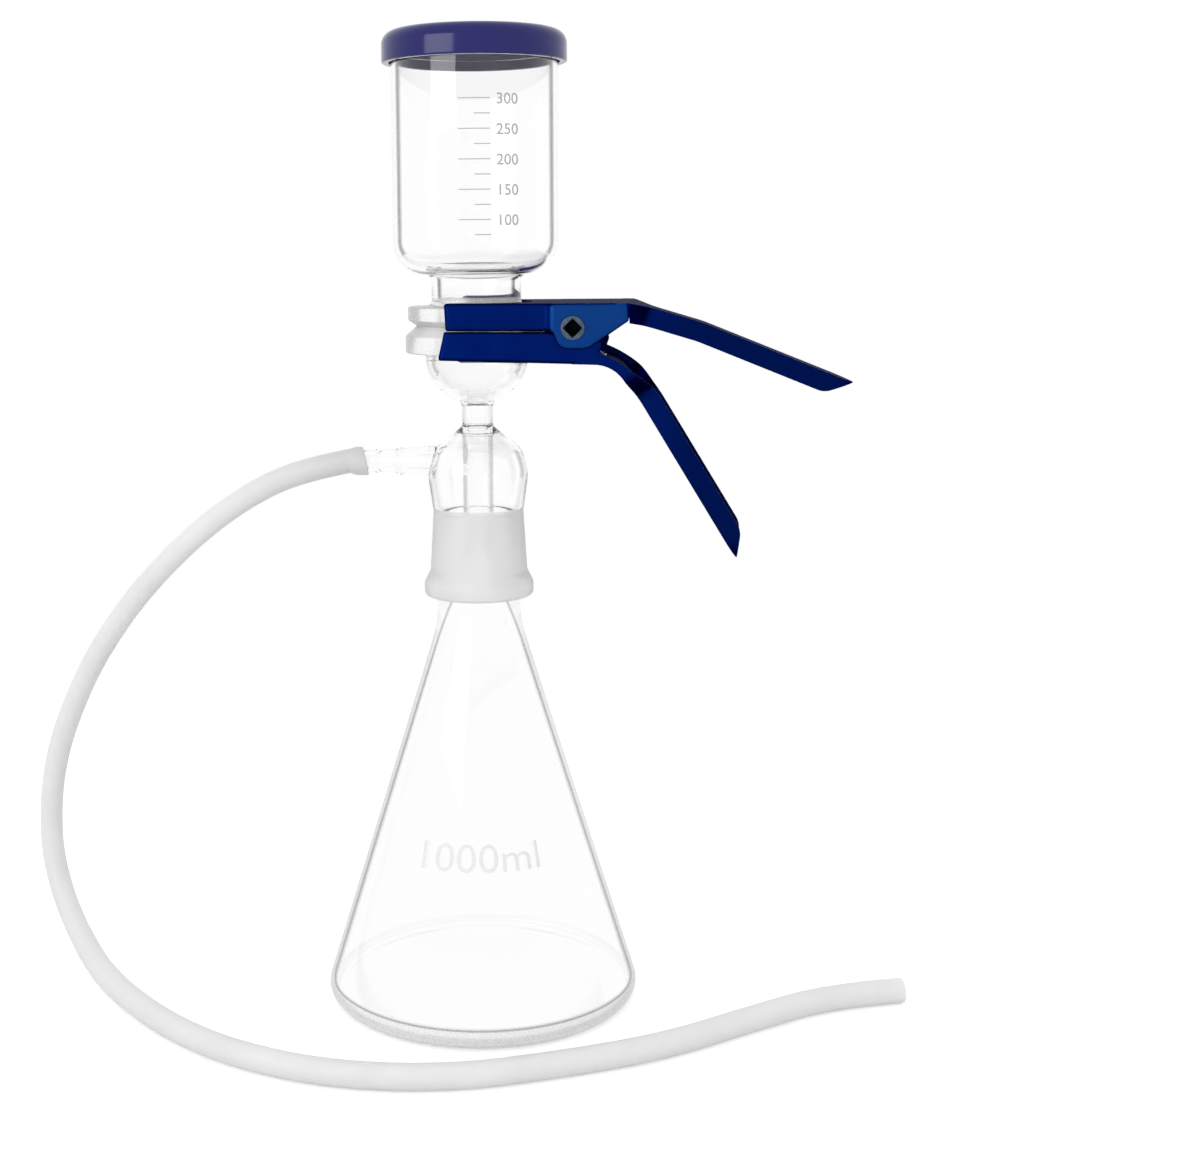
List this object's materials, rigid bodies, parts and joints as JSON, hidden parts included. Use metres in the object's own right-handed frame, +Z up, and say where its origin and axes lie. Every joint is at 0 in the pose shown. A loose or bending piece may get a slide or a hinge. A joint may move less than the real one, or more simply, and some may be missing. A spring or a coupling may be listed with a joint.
{
  "type": "vacuum filtration unit",
  "caption": "Glass vacuum filtration unit: a graduated funnel with a lid, clamped to a fritted base with a side arm and hose, on a conical receiving flask.",
  "frame": {"origin": "centre of the flask's base, on the surface it stands on", "axes": "+Z up along the glass axis, +X towards the clamp's handles, the side arm points along -X"},
  "size_m": [0.4258, 0.1843, 0.4382],
  "materials": {
    "clear_glass": "clear, with a frosted band at the ground joint",
    "fritted_glass": "white sintered glass grains",
    "lid_plastic": "glossy dark violet-blue",
    "anodised_sheet": "satin dark blue anodised",
    "steel": "bright zinc",
    "silicone": "translucent white, satin"
  },
  "bodies": {
    "unit": {"flask": "clear_glass", "filter_base": "clear_glass", "fritted_disc": "fritted_glass", "funnel": "clear_glass", "funnel_lid": "lid_plastic", "clamp_upper_jaw": "anodised_sheet", "clamp_rivet": "steel", "clamp_spring": "steel", "vacuum_hose": "silicone"},
    "lower_jaw": {"clamp_lower_jaw": "anodised_sheet"}
  },
  "joints": [
    {"name": "clamp_squeeze", "type": "hinge", "parent": "unit", "child": "lower_jaw", "pos_m": [0.0456, 0, 0.309], "axis": [0, -1, 0], "range_deg": [0, 24], "stiffness_Nm_per_rad": 0.6, "springref_deg": -20.05, "deforming": ["clamp_spring"]}
  ]
}
